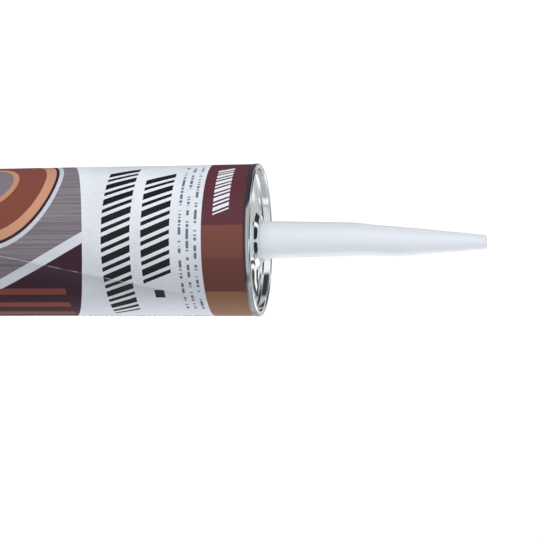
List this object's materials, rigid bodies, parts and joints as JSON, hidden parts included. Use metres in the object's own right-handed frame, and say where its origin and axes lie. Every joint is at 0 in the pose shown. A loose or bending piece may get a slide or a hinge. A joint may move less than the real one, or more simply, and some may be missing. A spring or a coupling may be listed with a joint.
{
  "type": "sealant cartridge",
  "caption": "Round board sealant cartridge with a printed label, a seamed metal front end, a long closed plastic nozzle and a sliding plunger in its open rear end.",
  "frame": {"origin": "centre of the rear rim, which the cartridge stands on", "axes": "+Z along the tube from the open rear end to the nozzle; -Y faces the front of the label"},
  "size_m": [0.0504, 0.0504, 0.288],
  "materials": {
    "board": "matte",
    "label": "satin",
    "tinplate": "polished",
    "nozzle_plastic": "satin",
    "foil": "satin",
    "sealant": "satin",
    "plunger_plastic": "satin"
  },
  "bodies": {
    "cartridge": {"body_tube": "board", "printed_label": "label", "front_end": "tinplate", "nozzle": "nozzle_plastic", "nozzle_seal": "foil", "sealant_fill": "sealant"},
    "plunger": {"plunger": "plunger_plastic"}
  },
  "joints": [
    {"name": "plunger_slide", "type": "slide", "parent": "cartridge", "child": "plunger", "axis": [0, 0, 1], "range_m": [0, 0.1733], "deforming": ["sealant_fill"]}
  ]
}
